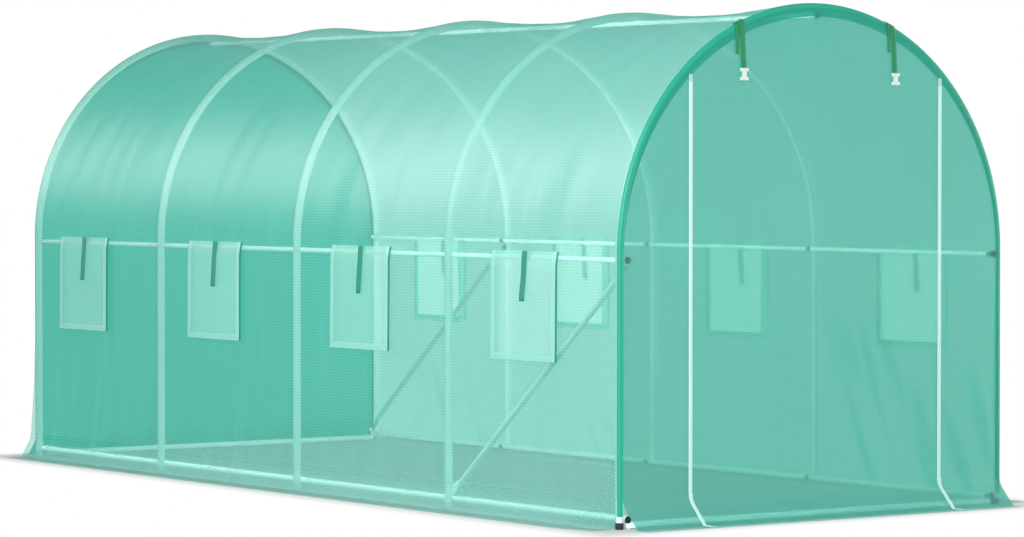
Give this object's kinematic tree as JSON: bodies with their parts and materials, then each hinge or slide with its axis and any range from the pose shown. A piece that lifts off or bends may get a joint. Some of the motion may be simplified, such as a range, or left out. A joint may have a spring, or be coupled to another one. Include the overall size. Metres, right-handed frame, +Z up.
{
  "type": "polytunnel greenhouse",
  "caption": "Walk-in tunnel greenhouse: round-arched tube hoops with rails and braces under a translucent sewn cover, with a zipped door end and flapped side windows.",
  "frame": {"origin": "on the ground, at the centre of the footprint", "axes": "+Y along the tunnel towards the rear end, +X across, +Z up; the door end faces -Y"},
  "size_m": [2.3266, 5.0486, 2.0703],
  "materials": {
    "tube": "pale coated steel tube",
    "dark_plastic": "dark moulded plastic",
    "cover_sheet": "translucent green sheet with a reinforcing grid",
    "trim_band": "doubled green sheet",
    "zip_tape": "white zip",
    "webbing": "green strap",
    "buckle_plastic": "white moulded plastic",
    "insect_mesh": "fine open mesh",
    "flap_sheet": "translucent pale green sheet"
  },
  "bodies": {
    "root": {"hoop_1_legs": "tube", "hoop_1_arch": "tube", "hoop_2_legs": "tube", "hoop_2_arch": "tube", "hoop_3_legs": "tube", "hoop_3_arch": "tube", "hoop_4_legs": "tube", "hoop_4_arch": "tube", "hoop_5_legs": "tube", "hoop_5_arch": "tube", "ridge_rail": "tube", "left_side_rail": "tube", "right_side_rail": "tube", "left_base_rail": "tube", "right_base_rail": "tube", "front_base_rail": "tube", "rear_base_rail": "tube", "left_front_brace": "tube", "right_rear_brace": "tube", "leg_feet": "dark_plastic", "rail_end_caps": "dark_plastic", "roof_cover_bay_1": "cover_sheet", "roof_cover_bay_2": "cover_sheet", "roof_cover_bay_3": "cover_sheet", "roof_cover_bay_4": "cover_sheet", "left_wall_cover": "cover_sheet", "right_wall_cover": "cover_sheet", "front_left_panel": "cover_sheet", "front_right_panel": "cover_sheet", "front_door": "cover_sheet", "rear_panel": "cover_sheet", "left_skirt": "cover_sheet", "right_skirt": "cover_sheet", "front_skirt": "cover_sheet", "rear_skirt": "cover_sheet", "front_arch_trim": "trim_band", "rear_arch_trim": "trim_band", "door_zips": "zip_tape", "door_straps": "webbing", "strap_buckles": "buckle_plastic", "window_meshes": "insect_mesh", "left_window_flaps": "flap_sheet", "right_window_flaps": "flap_sheet", "left_flap_ties": "webbing", "right_flap_ties": "webbing"}
  },
  "joints": []
}
